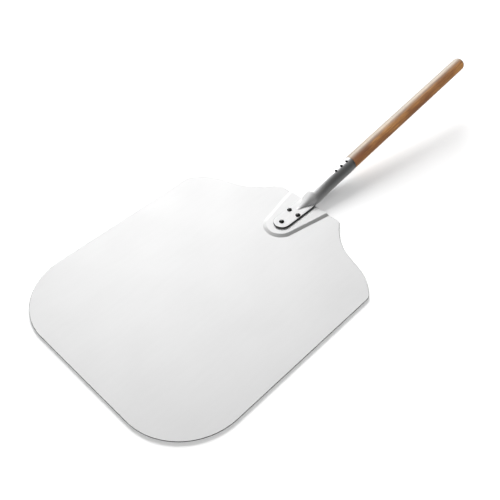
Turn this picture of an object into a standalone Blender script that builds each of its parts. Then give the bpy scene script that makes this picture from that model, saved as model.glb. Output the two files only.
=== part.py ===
"""Pizza peel: a pressed aluminium blade, a tube socket riveted to it, and a wooden handle.

Metres, +Z up. The origin is the centre of the blade's underside, +Y points to the handle,
and the blade lies in the XY plane with its top face up.
"""

from math import atan2, cos, pi, radians, sin, sqrt, tan

import bmesh
import bpy
from mathutils import Vector

OBJECT_NAME = "pizza_peel"
MM = 0.001

# Blade: a flat sheet that narrows slightly to its shoulders, then sweeps in to the neck.
BLADE_LENGTH = 465.0 * MM
BLADE_FRONT_WIDTH = 406.0 * MM
SHEET = 1.5 * MM
FRONT_CORNER_RADIUS = 102.0 * MM
SHOULDER_WIDTH = 398.8 * MM
SHOULDER_FROM_FRONT = 372.6 * MM
SHOULDER_RADIUS = 12.0 * MM
SHOULDER_ANGLE = radians(37.7)
SHOULDER_REACH = 70.2 * MM
NECK_WIDTH = 132.9 * MM
NECK_RADIUS = 8.0 * MM
NECK_ANGLE = radians(53.8)
NECK_REACH = 87.6 * MM
OUTLINE_STEPS = 12
FLAT_ANGLE = radians(0.05)

# Boss: a raised U pressed into the neck, open at the rear edge, that stiffens the joint.
BOSS_RISE = 2.6 * MM
BOSS_RADIUS = 29.5 * MM
BOSS_CENTRE_FROM_REAR = 68.0 * MM
BOSS_FLARE = radians(12.1)
BOSS_SLOPE = radians(25.0)
BOSS_BEND = 2.0 * MM
BOSS_ARC_STEPS = 18
BOSS_BEND_STEPS = 4

# Socket: a tube whose front end is pressed to a flat tongue that lies on the boss.
GAP = 0.3 * MM
TUBE_RADIUS = 12.5 * MM
TUBE_WALL = 1.1 * MM
TUBE_TILT = radians(8.3)
TUBE_AXIS_HEIGHT_AT_REAR = 6.8 * MM
MOUTH_FROM_REAR = 106.5 * MM
TONGUE_HALF_WIDTH = 14.5 * MM
TONGUE_THICKNESS = 2.8 * MM
TONGUE_CENTRE_FROM_REAR = -64.5 * MM
TONGUE_EDGE_POWER = 6.0
NOSE_START = -29.0 * MM
NOSE_TIP_LENGTH = 2.5 * MM
NOSE_TIP_HALF_WIDTH = 2.0 * MM
NOSE_CROWN_POWER = 0.6
CROWN_FULL = 9.0 * MM
CROWN_EASE = 0.15
CROWN_SAG = 0.8 * MM
SIDES_CLOSE = (-8.0 * MM, 9.0 * MM)
WIDTH_SETTLES = (2.0 * MM, 50.0 * MM)
KEEL_HEIGHT = 0.8 * MM
KEEL_DROPS = (0.5 * MM, 12.0 * MM)
KEEL_POWER = 3.0
CAVITY_START = -15.0 * MM
UPPER_STEPS = 24
LOWER_STEPS = 14

# Handle: a plain dowel, turned down where it enters the socket and rounded at its end.
HANDLE_RADIUS_NEAR = 12.1 * MM
HANDLE_RADIUS_END = 11.7 * MM
HANDLE_VISIBLE = 320.0 * MM
HANDLE_END_ROUNDING = 9.0 * MM
SPIGOT_LENGTH = 50.0 * MM
SPIGOT_CLEARANCE = 0.3 * MM
SPIGOT_CHAMFER = 2.0 * MM
HANDLE_STEPS = 32
HANDLE_END_STEPS = 6

# Rivets that hold the tongue to the boss: distance across, and distance behind the rear edge.
RIVETS = {
    "tongue_rivet_front": (0.0, -66.3 * MM),
    "tongue_rivet_left": (-9.3 * MM, -37.6 * MM),
    "tongue_rivet_right": (9.3 * MM, -37.6 * MM),
}
RIVET_SHANK_RADIUS = 2.2 * MM
RIVET_HEAD_RADIUS = 4.2 * MM
RIVET_HEAD_HEIGHT = 2.1 * MM
RIVET_TAIL_RADIUS = 3.6 * MM
RIVET_TAIL_HEIGHT = 1.3 * MM

# Pins that hold the handle in the socket, along the tube's top ridge, back from the mouth.
PIN_FROM_MOUTH = (10.0 * MM, 23.8 * MM, 37.6 * MM)
PIN_SHANK_RADIUS = 1.1 * MM
PIN_HEAD_RADIUS = 2.7 * MM
PIN_HEAD_HEIGHT = 1.5 * MM
PIN_LENGTH = 15.0 * MM
FASTENER_STEPS = 24

REAR_Y = BLADE_LENGTH / 2
PLATEAU_TOP = SHEET + BOSS_RISE
TONGUE_BOTTOM = PLATEAU_TOP + GAP
TONGUE_TOP = TONGUE_BOTTOM + TONGUE_THICKNESS
TONGUE_MIDDLE = TONGUE_BOTTOM + TONGUE_THICKNESS / 2
TUBE_DIRECTION = Vector((0.0, cos(TUBE_TILT), sin(TUBE_TILT)))
TUBE_UP = Vector((0.0, -sin(TUBE_TILT), cos(TUBE_TILT)))
OVERRUN = 10.0 * MM


def clear_scene():
    for obj in list(bpy.data.objects):
        bpy.data.objects.remove(obj, do_unlink=True)


def collection(name):
    made = bpy.data.collections.new(name)
    bpy.context.scene.collection.children.link(made)
    return made


def material(name, colour, roughness, metallic):
    made = bpy.data.materials.new(name)
    made.use_nodes = True
    shader = made.node_tree.nodes["Principled BSDF"]
    shader.inputs["Base Color"].default_value = (*colour, 1.0)
    shader.inputs["Roughness"].default_value = roughness
    shader.inputs["Metallic"].default_value = metallic
    made.diffuse_color = (*colour, 1.0)
    return made


def add_mesh(name, bm, group):
    """Close a bmesh into a named object of a collection, faces out."""
    bmesh.ops.recalc_face_normals(bm, faces=bm.faces)
    mesh = bpy.data.meshes.new(name)
    bm.to_mesh(mesh)
    bm.free()
    obj = bpy.data.objects.new(name, mesh)
    group.objects.link(obj)
    return obj


def mark_cutter(obj):
    obj.hide_render = True
    obj.display_type = "WIRE"


def shade_round(obj, angle=radians(35)):
    obj.data.shade_smooth()
    obj.data.set_sharp_from_angle(angle=angle)


def boolean(obj, other, operation):
    step = obj.modifiers.new(f"{operation.lower()} {other.name}", "BOOLEAN")
    step.operation = operation
    step.solver = "EXACT"
    step.object = other


def ramp(value, start, end):
    """Run straight from 0 at start to 1 at end."""
    return min(max((value - start) / (end - start), 0.0), 1.0)


def smooth_step(value, start, end):
    """Ease from 0 at start to 1 at end."""
    ratio = ramp(value, start, end)
    return ratio * ratio * (3.0 - 2.0 * ratio)


def loft(name, rings, group):
    """Skin a list of rings with the same number of points, and cap both ends."""
    bm = bmesh.new()
    loops = [[bm.verts.new(point) for point in ring] for ring in rings]
    count = len(loops[0])
    for near, far in zip(loops, loops[1:]):
        for i in range(count):
            j = (i + 1) % count
            bm.faces.new((near[i], near[j], far[j], far[i]))
    bm.faces.new(loops[0])
    bm.faces.new(loops[-1])
    return add_mesh(name, bm, group)


def turned(name, profile, steps, group):
    """Turn a profile of (radius, height) points, listed from top to bottom, about local Z."""
    bm = bmesh.new()
    points = [bm.verts.new((radius, 0.0, height)) for radius, height in profile]
    for upper, lower in zip(points, points[1:]):
        bm.edges.new((upper, lower))
    mesh = bpy.data.meshes.new(name)
    bm.to_mesh(mesh)
    bm.free()
    obj = bpy.data.objects.new(name, mesh)
    group.objects.link(obj)
    screw = obj.modifiers.new("turn", "SCREW")
    screw.axis = "Z"
    screw.angle = 2 * pi
    screw.steps = steps
    screw.render_steps = steps
    screw.use_merge_vertices = True
    screw.merge_threshold = 0.00001
    screw.use_smooth_shade = True
    return obj


def cylinder(name, radius, length, group):
    """A cylinder centred on its own origin, along local Z."""
    bm = bmesh.new()
    bmesh.ops.create_cone(
        bm, cap_ends=True, segments=FASTENER_STEPS, radius1=radius, radius2=radius, depth=length
    )
    return add_mesh(name, bm, group)


# Blade


def fillet(corner, before, after, radius):
    """Round a corner between two travel directions: two Bezier nodes (point, in, out)."""
    turn = before.angle(after)
    cut = radius * tan(turn / 2)
    pull = 4.0 / 3.0 * tan(turn / 4) * radius
    start = corner - before * cut
    end = corner + after * cut
    return [[start, start, start + before * pull], [end, end - after * pull, end]], cut


def half_outline():
    """Bezier nodes of the blade's +X half, from the front centre round to the rear centre."""
    front, rear = -REAR_Y, REAR_Y
    corner = Vector((BLADE_FRONT_WIDTH / 2, front))
    shoulder = Vector((SHOULDER_WIDTH / 2, front + SHOULDER_FROM_FRONT))
    neck = Vector((NECK_WIDTH / 2, rear))
    across = Vector((1.0, 0.0))
    side = (shoulder - corner).normalized()
    sweep_in = Vector((-sin(SHOULDER_ANGLE), cos(SHOULDER_ANGLE)))
    sweep_out = Vector((-cos(NECK_ANGLE), sin(NECK_ANGLE)))

    front_nodes, _ = fillet(corner, across, side, FRONT_CORNER_RADIUS)
    shoulder_nodes, shoulder_cut = fillet(shoulder, side, sweep_in, SHOULDER_RADIUS)
    neck_nodes, neck_cut = fillet(neck, sweep_out, -across, NECK_RADIUS)
    leave, arrive = shoulder_nodes[1], neck_nodes[0]
    leave[2] = leave[0] + sweep_in * (SHOULDER_REACH - shoulder_cut)
    arrive[1] = arrive[0] - sweep_out * (NECK_REACH - neck_cut)

    middle_front = Vector((0.0, front))
    middle_rear = Vector((0.0, rear))
    return (
        [[middle_front] * 3]
        + front_nodes
        + shoulder_nodes
        + neck_nodes
        + [[middle_rear] * 3]
    )


def full_outline():
    half = half_outline()
    flip = Vector((-1.0, 1.0))
    mirrored = [[point * flip for point in (at, out, back)] for at, back, out in half[1:-1]]
    return half + mirrored[::-1]


def sheet_blank(name, group):
    """The flat sheet, extruded from its outline, standing on Z = 0."""
    curve = bpy.data.curves.new(name, "CURVE")
    curve.dimensions = "2D"
    curve.fill_mode = "BOTH"
    curve.extrude = SHEET / 2
    nodes = full_outline()
    spline = curve.splines.new("BEZIER")
    spline.bezier_points.add(len(nodes) - 1)
    spline.use_cyclic_u = True
    spline.resolution_u = OUTLINE_STEPS
    for target, (at, back, out) in zip(spline.bezier_points, nodes):
        target.handle_left_type = "FREE"
        target.handle_right_type = "FREE"
        target.co = at.to_3d()
        target.handle_left = back.to_3d()
        target.handle_right = out.to_3d()
    return curve_to_mesh(name, curve, Vector((0.0, 0.0, SHEET / 2)), group)


def curve_to_mesh(name, curve, location, group):
    guide = bpy.data.objects.new(f"{name}_curve", curve)
    guide.location = location
    group.objects.link(guide)
    bpy.context.view_layer.update()
    evaluated = guide.evaluated_get(bpy.context.evaluated_depsgraph_get())
    mesh = bpy.data.meshes.new_from_object(evaluated)
    mesh.name = name
    bm = bmesh.new()
    bm.from_mesh(mesh)
    bmesh.ops.remove_doubles(bm, verts=bm.verts, dist=0.01 * MM)
    bmesh.ops.dissolve_limit(bm, angle_limit=FLAT_ANGLE, verts=bm.verts, edges=bm.edges)
    bmesh.ops.recalc_face_normals(bm, faces=bm.faces)
    bm.to_mesh(mesh)
    bm.free()
    obj = bpy.data.objects.new(name, mesh)
    obj.matrix_world = guide.matrix_world
    group.objects.link(obj)
    bpy.data.objects.remove(guide, do_unlink=True)
    return obj


def boss_slope_width():
    """Plan width of the sloped band, bends included."""
    bends = 2 * BOSS_BEND + SHEET
    straight = BOSS_RISE - bends * (1 - cos(BOSS_SLOPE))
    return straight / tan(BOSS_SLOPE) + bends * sin(BOSS_SLOPE)


def boss_profile(foot_radius, crown_radius):
    """(inset, height) points up one face of the boss: foot bend, straight slope, crown bend."""
    width = boss_slope_width()
    angles = [BOSS_SLOPE * i / BOSS_BEND_STEPS for i in range(BOSS_BEND_STEPS + 1)]
    foot_centre = SHEET + BOSS_BEND
    crown_centre = BOSS_RISE - BOSS_BEND
    foot = [(foot_radius * sin(a), foot_centre - foot_radius * cos(a)) for a in angles[1:]]
    crown = [
        (width - crown_radius * sin(a), crown_centre + crown_radius * cos(a))
        for a in reversed(angles)
    ]
    return foot + crown


def boss_ring(inset, height):
    """The U outline drawn in by an inset, run past the rear edge of the sheet."""
    radius = BOSS_RADIUS - inset
    centre_y = REAR_Y - BOSS_CENTRE_FROM_REAR
    end_y = REAR_Y + OVERRUN
    end_x = radius / cos(BOSS_FLARE) + (end_y - centre_y) * tan(BOSS_FLARE)
    sweep = pi - 2 * BOSS_FLARE
    points = [Vector((end_x, end_y, height))]
    for i in range(BOSS_ARC_STEPS + 1):
        angle = -BOSS_FLARE - sweep * i / BOSS_ARC_STEPS
        x = radius * cos(angle)
        y = centre_y + radius * sin(angle)
        points.append(Vector((x, y, height)))
    points.append(Vector((-end_x, end_y, height)))
    return points


def boss_solid(name, start_height, foot_radius, crown_radius, group):
    rings = [boss_ring(0.0, start_height)]
    rings += [boss_ring(inset, height) for inset, height in boss_profile(foot_radius, crown_radius)]
    return loft(name, rings, group)


def rear_trim(group):
    """A block behind the rear edge, where the boss solids run past the sheet."""
    bm = bmesh.new()
    bmesh.ops.create_cube(bm, size=1.0)
    bmesh.ops.scale(bm, vec=(NECK_WIDTH, 4 * OVERRUN, 4 * OVERRUN), verts=bm.verts)
    bmesh.ops.translate(bm, vec=(0.0, REAR_Y + 2 * OVERRUN, 0.0), verts=bm.verts)
    return add_mesh("rear_trim", bm, group)


def make_blade(parts, cutters, rivet_holes):
    blade = sheet_blank("blade", parts)
    raised = boss_solid("boss_outside", SHEET / 2, BOSS_BEND, BOSS_BEND + SHEET, cutters)
    recess = boss_solid("boss_inside", -SHEET, BOSS_BEND + SHEET, BOSS_BEND, cutters)
    trim = rear_trim(cutters)
    boolean(blade, raised, "UNION")
    boolean(blade, recess, "DIFFERENCE")
    boolean(blade, trim, "DIFFERENCE")
    for hole in rivet_holes:
        boolean(blade, hole, "DIFFERENCE")
    blade.data.materials.append(material("blade_aluminium", (0.80, 0.80, 0.80), 0.35, 1.0))
    return blade


# Socket


def axis_height(y):
    """Height of the tube's axis above the ground at a distance behind the rear edge."""
    return TUBE_AXIS_HEIGHT_AT_REAR + y * tan(TUBE_TILT)


def half_width(y):
    settle = smooth_step(y, *WIDTH_SETTLES)
    return TONGUE_HALF_WIDTH + (TUBE_RADIUS - TONGUE_HALF_WIDTH) * settle


def nose_half_width(y):
    """Half-width of the raised nose: a rounded tip, then a flare to the tube's full width."""
    tip_end = NOSE_START + NOSE_TIP_LENGTH
    tip = NOSE_TIP_HALF_WIDTH * sqrt(1 - (1 - ramp(y, NOSE_START, tip_end)) ** 2)
    flare = ramp(y, tip_end, CROWN_FULL)
    return tip + (half_width(y) - NOSE_TIP_HALF_WIDTH) * flare


def crown_height(y):
    """Height of the top ridge: flat on the tongue, then rising to the round tube."""
    straight = ramp(y, NOSE_START, CROWN_FULL)
    rise = straight + (smooth_step(y, NOSE_START, CROWN_FULL) - straight) * CROWN_EASE
    sag = CROWN_SAG * (1 - smooth_step(y, CROWN_FULL, WIDTH_SETTLES[1]))
    tube_crown = axis_height(y) + TUBE_RADIUS / cos(TUBE_TILT) - sag
    return TONGUE_TOP + (tube_crown - TONGUE_TOP) * rise


def keel_height(y):
    """Height of the lowest line: the tongue's underside, then just clear of the ground."""
    drop = smooth_step(y, *KEEL_DROPS)
    flattened = TONGUE_BOTTOM + (KEEL_HEIGHT - TONGUE_BOTTOM) * drop
    return max(flattened, axis_height(y) - TUBE_RADIUS / cos(TUBE_TILT))


def super_arc(ratio, power):
    """Height of a superellipse arc of unit size at a ratio of its half-width."""
    return max(1 - abs(ratio) ** power, 0.0) ** (1 / power)


def nose_arc(x, width):
    if width <= 0.0 or abs(x) >= width:
        return 0.0
    return (1 - (x / width) ** 2) ** NOSE_CROWN_POWER


def tongue_end_scale(y):
    """Width ratio of the tongue's round front end: 1 behind its arc's centre."""
    ahead = min(max((TONGUE_CENTRE_FROM_REAR - y) / TONGUE_HALF_WIDTH, 0.0), 1.0)
    return sqrt(1 - ahead * ahead)


def outer_heights(x, y, width):
    """Top and bottom of the socket's outside at x, for a section that is width to a side."""
    ratio = x / width
    edge = super_arc(ratio, TONGUE_EDGE_POWER)
    nose = nose_arc(x, nose_half_width(y)) * (crown_height(y) - TONGUE_TOP)
    flat_top = TONGUE_MIDDLE + TONGUE_THICKNESS / 2 * edge + nose
    flat_bottom = TONGUE_MIDDLE - TONGUE_THICKNESS / 2 * edge
    middle = axis_height(y)
    round_top = middle + (crown_height(y) - middle) * super_arc(ratio, 2.0)
    fullness = KEEL_POWER + (2.0 - KEEL_POWER) * smooth_step(y, *WIDTH_SETTLES)
    round_bottom = middle - (middle - keel_height(y)) * super_arc(ratio, fullness)
    return blend_sections(y, (flat_top, flat_bottom), (round_top, round_bottom))


def inner_heights(x, y, width):
    """Top and bottom of the socket's cavity at x."""
    ratio = x / width
    ceiling = crown_height(y) - TUBE_WALL
    floor = keel_height(y) + TUBE_WALL
    flat_top = TONGUE_MIDDLE + (ceiling - TONGUE_MIDDLE) * super_arc(ratio, 2.0)
    flat_bottom = TONGUE_MIDDLE + (floor - TONGUE_MIDDLE) * super_arc(ratio, TONGUE_EDGE_POWER)
    middle = axis_height(y)
    round_top = middle + (ceiling - middle) * super_arc(ratio, 2.0)
    fullness = KEEL_POWER + (2.0 - KEEL_POWER) * smooth_step(y, *WIDTH_SETTLES)
    round_bottom = middle - (middle - floor) * super_arc(ratio, fullness)
    return blend_sections(y, (flat_top, flat_bottom), (round_top, round_bottom))


def blend_sections(y, flat, full):
    weight = smooth_step(y, *SIDES_CLOSE)
    return tuple(a + (b - a) * weight for a, b in zip(flat, full))


def socket_ring(y, width, heights):
    """One closed section of the socket, leaning back to stand square to the tube's axis."""
    lean = smooth_step(y, *WIDTH_SETTLES) * tan(TUBE_TILT)
    points = []
    for i in range(UPPER_STEPS + 1):
        x = width * cos(pi * i / UPPER_STEPS)
        points.append((x, heights(x, y, width)[0]))
    for i in range(1, LOWER_STEPS):
        x = -width * cos(pi * i / LOWER_STEPS)
        points.append((x, heights(x, y, width)[1]))
    return [Vector((x, REAR_Y + y - (z - axis_height(y)) * lean, z)) for x, z in points]


def spaced(start, end, steps):
    return [start + (end - start) * i / steps for i in range(1, steps + 1)]


def socket_outside(name, group):
    """Skin of the whole socket: rounded tongue end, tongue, nose, and tube to the mouth."""
    rings = []
    for degrees in (12, 30, 48, 66, 80, 90):
        y = TONGUE_CENTRE_FROM_REAR - TONGUE_HALF_WIDTH * cos(radians(degrees))
        rings.append(socket_ring(y, TONGUE_HALF_WIDTH * tongue_end_scale(y), outer_heights))
    stations = [NOSE_START]
    stations += spaced(NOSE_START, CROWN_FULL, 18)
    stations += spaced(CROWN_FULL, WIDTH_SETTLES[1] + 5 * MM, 5)
    stations += [MOUTH_FROM_REAR]
    rings += [socket_ring(y, half_width(y), outer_heights) for y in stations]
    return loft(name, rings, group)


def cavity_width(y):
    """Half-width of the cavity: inside the nose first, then inside the tube's wall."""
    weight = smooth_step(y, *SIDES_CLOSE)
    inside_nose = nose_half_width(y) - TUBE_WALL
    inside_tube = half_width(y) - TUBE_WALL
    return inside_nose + (inside_tube - inside_nose) * weight


def socket_cavity(name, group):
    stations = [CAVITY_START]
    stations += spaced(CAVITY_START, CROWN_FULL, 11)
    stations += spaced(CROWN_FULL, WIDTH_SETTLES[1] + 5 * MM, 5)
    stations += [MOUTH_FROM_REAR + OVERRUN]
    rings = [socket_ring(y, cavity_width(y), inner_heights) for y in stations]
    return loft(name, rings, group)


def make_socket(parts, cutters, holes):
    socket = socket_outside("socket", parts)
    boolean(socket, socket_cavity("socket_cavity", cutters), "DIFFERENCE")
    for hole in holes:
        boolean(socket, hole, "DIFFERENCE")
    shade_round(socket)
    socket.data.materials.append(material("socket_aluminium", (0.72, 0.72, 0.73), 0.28, 1.0))
    return socket


# Handle


def mouth_centre():
    return Vector((0.0, REAR_Y + MOUTH_FROM_REAR, axis_height(MOUTH_FROM_REAR)))


def handle_profile():
    """(radius, height) from the round end down to the spigot, height 0 at the socket's mouth."""
    spigot = TUBE_RADIUS - TUBE_WALL - SPIGOT_CLEARANCE
    flat = HANDLE_RADIUS_END - HANDLE_END_ROUNDING
    points = [(0.0, HANDLE_VISIBLE)]
    for i in range(HANDLE_END_STEPS + 1):
        angle = pi / 2 * i / HANDLE_END_STEPS
        radius = flat + HANDLE_END_ROUNDING * sin(angle)
        height = HANDLE_VISIBLE - HANDLE_END_ROUNDING * (1 - cos(angle))
        points.append((radius, height))
    points.append((HANDLE_RADIUS_NEAR, GAP))
    points.append((spigot, GAP))
    points.append((spigot, SPIGOT_CHAMFER - SPIGOT_LENGTH))
    points.append((spigot - SPIGOT_CHAMFER, -SPIGOT_LENGTH))
    points.append((0.0, -SPIGOT_LENGTH))
    return points


def make_handle(parts, pin_holes):
    handle = turned("handle", handle_profile(), HANDLE_STEPS, parts)
    handle.location = mouth_centre()
    handle.rotation_euler = (TUBE_TILT - pi / 2, 0.0, 0.0)
    for hole in pin_holes:
        boolean(handle, hole, "DIFFERENCE")
    handle.data.materials.append(material("handle_wood", (0.62, 0.42, 0.24), 0.55, 0.0))
    return handle


# Fasteners


def dome(radius, height, steps=5):
    """(radius, height) points of a shallow dome from its crown to its rim, rim at height 0."""
    sphere = (radius * radius + height * height) / (2 * height)
    half_angle = atan2(radius, sphere - height)
    points = []
    for i in range(steps + 1):
        angle = half_angle * i / steps
        points.append((sphere * sin(angle), sphere * cos(angle) - (sphere - height)))
    return points


def rivet_profile():
    """Domed head on the tongue, shank through both sheets, and a formed tail under the boss."""
    seat = TONGUE_TOP + GAP
    under = BOSS_RISE - GAP
    head = [(radius, seat + height) for radius, height in dome(RIVET_HEAD_RADIUS, RIVET_HEAD_HEIGHT)]
    tail = [
        (radius, under - height)
        for radius, height in reversed(dome(RIVET_TAIL_RADIUS, RIVET_TAIL_HEIGHT))
    ]
    return head + [(RIVET_SHANK_RADIUS, seat), (RIVET_SHANK_RADIUS, under)] + tail


def make_rivet(name, across, back, parts):
    rivet = turned(name, rivet_profile(), FASTENER_STEPS, parts)
    rivet.location = (across, REAR_Y + back, 0.0)
    rivet.data.materials.append(material(name + "_metal", (0.2, 0.2, 0.2), 0.3, 1.0))
    return rivet


def pin_profile():
    """Small domed nail: height 0 at the tube's outer surface."""
    head = [(radius, GAP + height) for radius, height in dome(PIN_HEAD_RADIUS, PIN_HEAD_HEIGHT)]
    tip = [(PIN_SHANK_RADIUS, 2 * PIN_SHANK_RADIUS - PIN_LENGTH), (0.0, -PIN_LENGTH)]
    return head + [(PIN_SHANK_RADIUS, GAP)] + tip


def pin_seat(from_mouth):
    return mouth_centre() - TUBE_DIRECTION * from_mouth + TUBE_UP * TUBE_RADIUS


def make_pin(name, from_mouth, parts):
    pin = turned(name, pin_profile(), FASTENER_STEPS, parts)
    pin.location = pin_seat(from_mouth)
    pin.rotation_euler = (TUBE_TILT, 0.0, 0.0)
    pin.data.materials.append(material(name + "_metal", (0.2, 0.2, 0.2), 0.4, 1.0))
    return pin


def rivet_hole(name, across, back, cutters):
    hole = cylinder(name + "_hole", RIVET_SHANK_RADIUS + GAP, 4 * OVERRUN, cutters)
    hole.location = (across, REAR_Y + back, 0.0)
    return hole


def pin_hole(name, from_mouth, cutters):
    """A blind drilling from above the tube into the handle's spigot, past the pin's point."""
    depth = PIN_LENGTH + GAP
    hole = cylinder(name + "_hole", PIN_SHANK_RADIUS + GAP, depth + OVERRUN, cutters)
    hole.location = pin_seat(from_mouth) + TUBE_UP * (OVERRUN - depth) / 2
    hole.rotation_euler = (TUBE_TILT, 0.0, 0.0)
    return hole


def main():
    clear_scene()
    parts = collection(OBJECT_NAME)
    cutters = collection("cutters")
    pins = {f"socket_pin_{i + 1}": place for i, place in enumerate(PIN_FROM_MOUTH)}

    rivet_holes = [rivet_hole(name, *place, cutters) for name, place in RIVETS.items()]
    pin_holes = [pin_hole(name, place, cutters) for name, place in pins.items()]
    made = [make_blade(parts, cutters, rivet_holes)]
    made.append(make_socket(parts, cutters, rivet_holes + pin_holes))
    made.append(make_handle(parts, pin_holes))
    made += [make_rivet(name, *place, parts) for name, place in RIVETS.items()]
    made += [make_pin(name, place, parts) for name, place in pins.items()]

    root = bpy.data.objects.new(OBJECT_NAME + "_frame", None)
    parts.objects.link(root)
    for obj in made:
        obj.parent = root
    for cutter in cutters.objects:
        mark_cutter(cutter)
    bpy.context.view_layer.update()


main()
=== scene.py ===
"""Looks of a pizza peel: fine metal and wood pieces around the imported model, in soft studio light.

Metres, +Z up. The origin is the centre of the blade's underside, and +Y points to the handle.
"""

from math import atan2, cos, pi, radians, sin, sqrt, tan

import bmesh
import bpy
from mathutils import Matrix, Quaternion, Vector
from mathutils.geometry import interpolate_bezier


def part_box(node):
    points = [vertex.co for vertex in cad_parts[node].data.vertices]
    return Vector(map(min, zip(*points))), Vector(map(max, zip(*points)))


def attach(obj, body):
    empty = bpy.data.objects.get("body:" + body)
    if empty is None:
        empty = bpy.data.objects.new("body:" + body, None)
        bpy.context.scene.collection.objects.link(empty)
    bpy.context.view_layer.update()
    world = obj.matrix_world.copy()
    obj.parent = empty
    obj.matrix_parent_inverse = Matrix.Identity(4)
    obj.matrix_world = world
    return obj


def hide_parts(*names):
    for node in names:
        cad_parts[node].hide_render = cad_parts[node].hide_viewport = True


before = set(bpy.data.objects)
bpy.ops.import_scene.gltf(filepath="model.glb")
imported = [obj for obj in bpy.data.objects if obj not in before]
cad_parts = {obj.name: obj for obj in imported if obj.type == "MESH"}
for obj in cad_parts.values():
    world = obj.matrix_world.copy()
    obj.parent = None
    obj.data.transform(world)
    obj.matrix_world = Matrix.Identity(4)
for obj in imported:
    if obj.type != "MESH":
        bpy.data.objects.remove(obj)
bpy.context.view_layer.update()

MM = 0.001
BLADE_LOW, BLADE_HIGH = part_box("blade")
RIVETS = ("tongue_rivet_front", "tongue_rivet_left", "tongue_rivet_right")
PINS = ("socket_pin_1", "socket_pin_2", "socket_pin_3")
FRONT_Y, REAR_Y = BLADE_LOW.y, BLADE_HIGH.y
SEAM = 0.05 * MM
WELD = 0.001 * MM

# Blade outline and pressed boss. A reach is the distance from a corner to its sweep's handle.
SHEET = 1.5 * MM
FRONT_WIDTH = 406.0 * MM
FRONT_CORNER_RADIUS = 102.0 * MM
SHOULDER_WIDTH = 398.8 * MM
SHOULDER_FROM_FRONT = 372.6 * MM
SHOULDER_RADIUS = 12.0 * MM
SHOULDER_ANGLE = radians(37.7)
SHOULDER_REACH = 70.2 * MM
NECK_WIDTH = 132.9 * MM
NECK_RADIUS = 8.0 * MM
NECK_ANGLE = radians(53.8)
NECK_REACH = 87.6 * MM
OUTLINE_STEPS = 40
EDGE_ROUNDING = 0.3 * MM
RIM_ROUNDING = 0.6 * MM
BOSS_RISE = BLADE_HIGH.z - SHEET
BOSS_RADIUS = 29.5 * MM
BOSS_CENTRE_FROM_REAR = 68.0 * MM
BOSS_FLARE = radians(12.1)
BOSS_SLOPE = radians(25.0)
BOSS_BEND = 2.0 * MM
BOSS_ARC_STEPS = 72
BOSS_SIDE_STEPS = 12
BOSS_BEND_STEPS = 6

# Socket: tube, nose and flat tongue. Places along it are measured back from the blade's rear edge.
TUBE_RADIUS = 12.5 * MM
TUBE_WALL = 1.1 * MM
TUBE_TILT = radians(8.3)
TUBE_AXIS_HEIGHT_AT_REAR = 6.8 * MM
MOUTH_FROM_REAR = 106.5 * MM
MOUTH_Y = REAR_Y + MOUTH_FROM_REAR
MOUTH_STEPS = 4
CRIMP = 0.5 * MM
CRIMP_LENGTH = 4.0 * MM
TONGUE_HALF_WIDTH = 14.5 * MM
TONGUE_BOTTOM = BLADE_HIGH.z + SEAM
TONGUE_RISE = 3.1 * MM
TONGUE_TOP = BLADE_HIGH.z + TONGUE_RISE
TONGUE_CENTRE_FROM_REAR = -64.5 * MM
TONGUE_EDGE_POWER = 12.0
CIRCLE_POWER = 2.0
NOSE_START = -29.0 * MM
NOSE_TIP_LENGTH = 2.5 * MM
NOSE_TIP_HALF_WIDTH = 2.0 * MM
NOSE_CROWN_POWER = 0.6
CROWN_FULL = 9.0 * MM
CROWN_EASE = 0.15
CROWN_SAG = 0.8 * MM
SIDES_CLOSE = (-8.0 * MM, 9.0 * MM)
WIDTH_SETTLES = (2.0 * MM, 50.0 * MM)
PLAIN_TUBE_FROM = WIDTH_SETTLES[1] + 5.0 * MM
KEEL_HEIGHT = 0.8 * MM
KEEL_DROPS = (0.5 * MM, 12.0 * MM)
KEEL_POWER = 3.0
CAVITY_START = -15.0 * MM
UPPER_STEPS = 72
LOWER_STEPS = 40

# Handle: dowel with a rounded end and a turned spigot in the socket.
HANDLE_RADIUS_NEAR = 12.1 * MM
HANDLE_RADIUS_END = 11.7 * MM
HANDLE_VISIBLE = 320.0 * MM
HANDLE_END_ROUNDING = 9.0 * MM
SPIGOT_LENGTH = 50.0 * MM
SPIGOT_RADIUS = 11.1 * MM
SPIGOT_CHAMFER = 2.0 * MM
SHOULDER_CHAMFER = 0.5 * MM
HANDLE_STEPS = 96
HANDLE_RINGS = 40
HANDLE_END_STEPS = 16

# Fasteners.
RIVET_SHANK_RADIUS = 2.2 * MM
RIVET_HEAD_RADIUS = 4.2 * MM
RIVET_HEAD_RIM = 0.25 * MM
RIVET_HOLE_LENGTH = 40.0 * MM
RIVET_TAIL_RADIUS = 3.6 * MM
RIVET_TAIL_HEIGHT = 1.3 * MM
PIN_SHANK_RADIUS = 1.1 * MM
PIN_HEAD_RADIUS = 2.7 * MM
PIN_HEAD_HEIGHT = 1.5 * MM
PIN_LENGTH = 15.0 * MM
PIN_FROM_MOUTH = (10.0 * MM, 23.8 * MM, 37.6 * MM)
FASTENER_STEPS = 48

# Looks. Tones run from 0, black, to 1, white. The tube's zones are measured from the rear edge.
NOISE_SPAN = (0.3, 0.7)
SATIN_TONE = 0.86
SATIN_ROUGHNESS = 0.70
CLOUDY = 0.008
TUBE_ROUGHNESS = 0.5
TUBE_SMOOTHS = (-20.0 * MM, 60.0 * MM)
TUBE_DULLS = (10.0 * MM, 45.0 * MM)
TUBE_DULLNESS = 0.16
# The tube turns darker over the last few millimetres before the mouth. The dark tone also serves the
# duller stretch of tube.
DARKER_BEFORE_MOUTH = (6.0 * MM, 1.0 * MM)
MOUTH_DARKENING = 0.5
DULL_AND_DARK_TONE = 0.1
# Painted shade: a near-black, rough, dim colour put on edges and rims where shade and dark reflections
# fall.
PAINTED_EDGE_SHADE_TONE = 0.015
PAINTED_EDGE_SHADE_ROUGHNESS = 0.6
PAINTED_EDGE_SHADE_SPECULAR = 0.1

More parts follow.
